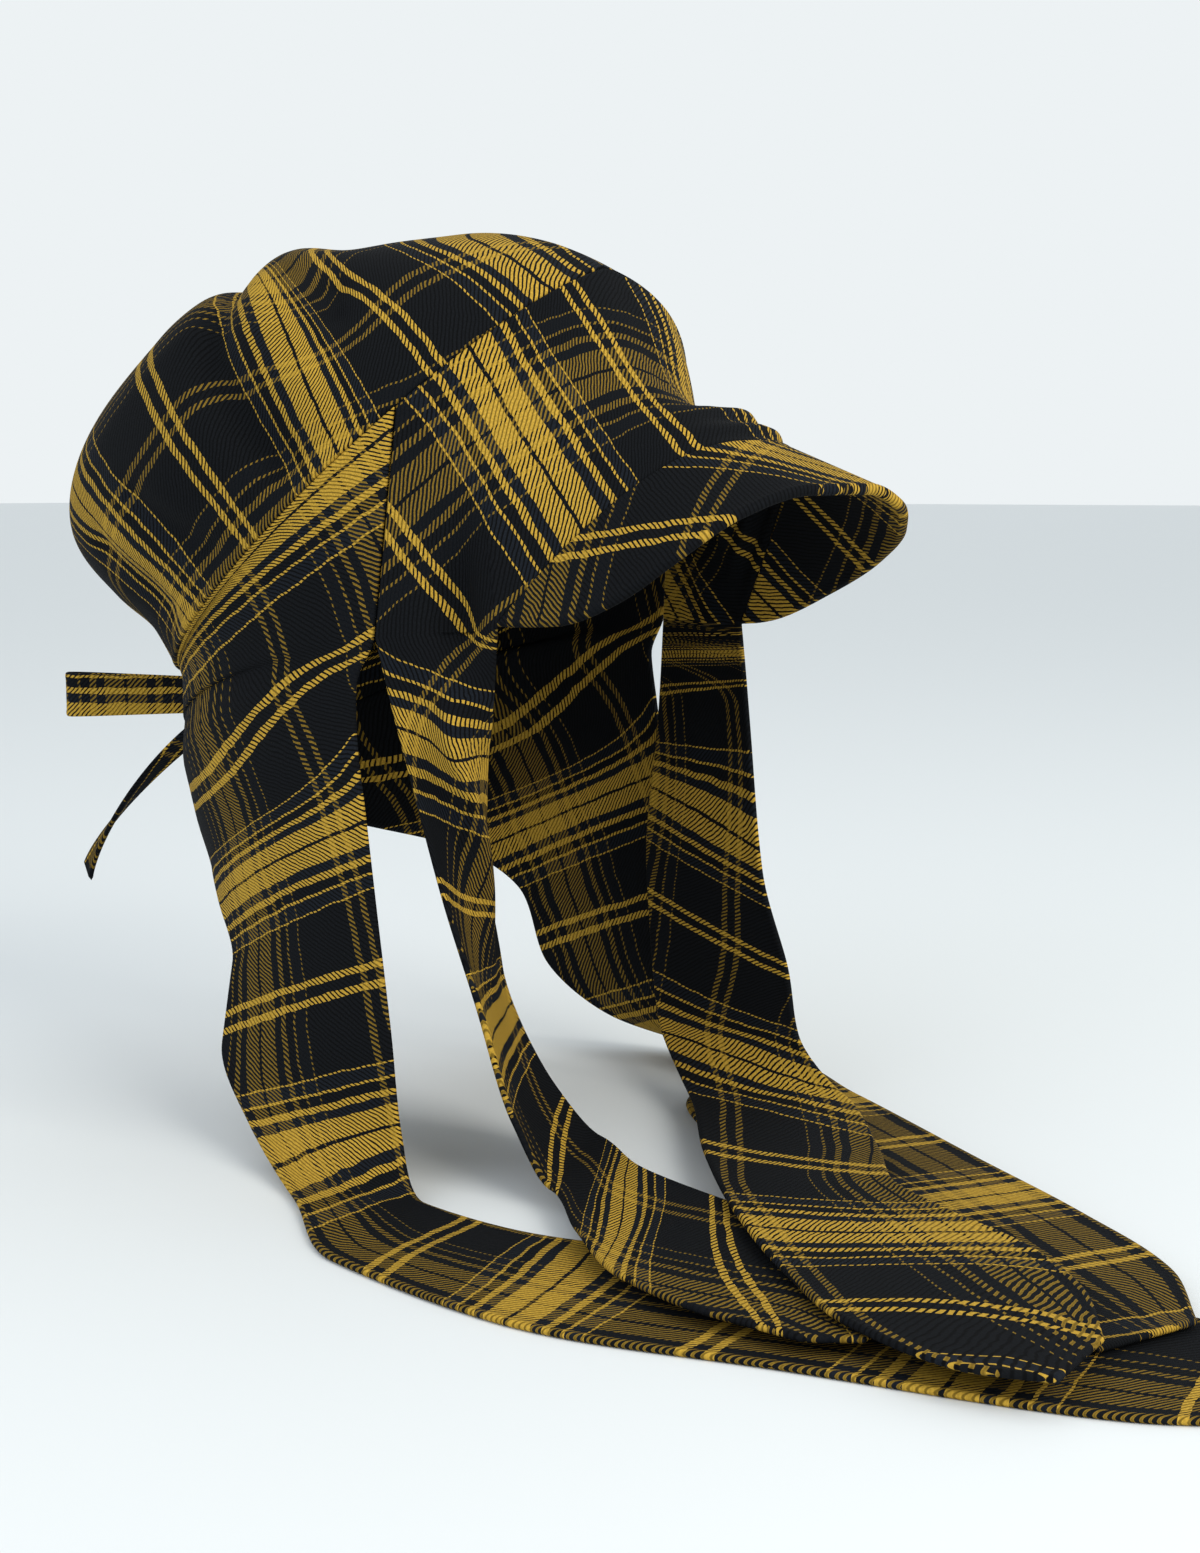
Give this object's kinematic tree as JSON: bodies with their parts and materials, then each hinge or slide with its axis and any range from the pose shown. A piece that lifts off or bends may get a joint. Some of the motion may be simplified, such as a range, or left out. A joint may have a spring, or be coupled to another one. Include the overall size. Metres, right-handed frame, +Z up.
{
  "type": "deerstalker hat",
  "caption": "Soft tartan cap in its worn form: puffy gathered crown, one arched peak, long scarf tails front and back that fall and lie forward on the surface below, and a tie bow at the nape.",
  "frame": {"origin": "middle of the head opening: midway between the tops of the two side slits, level with the corners of the peak, where the hat sits on the head", "axes": "+Z up, the front (peak) faces -Y, +X to the wearer's left"},
  "size_m": [0.2967, 0.5886, 0.3393],
  "materials": {
    "tartan_cloth": "matte twill, navy and mustard tartan",
    "tartan_ribbon": "matte twill, stitched ribbon of the same tartan"
  },
  "bodies": {
    "root": {"crown": "tartan_cloth", "front_panel": "tartan_cloth", "back_panel_right": "tartan_cloth", "back_panel_left": "tartan_cloth", "peak": "tartan_cloth", "tie_knot": "tartan_ribbon", "tie_loop_right": "tartan_ribbon", "tie_loop_left": "tartan_ribbon", "tie_end_right": "tartan_ribbon", "tie_end_left": "tartan_ribbon"}
  },
  "joints": []
}
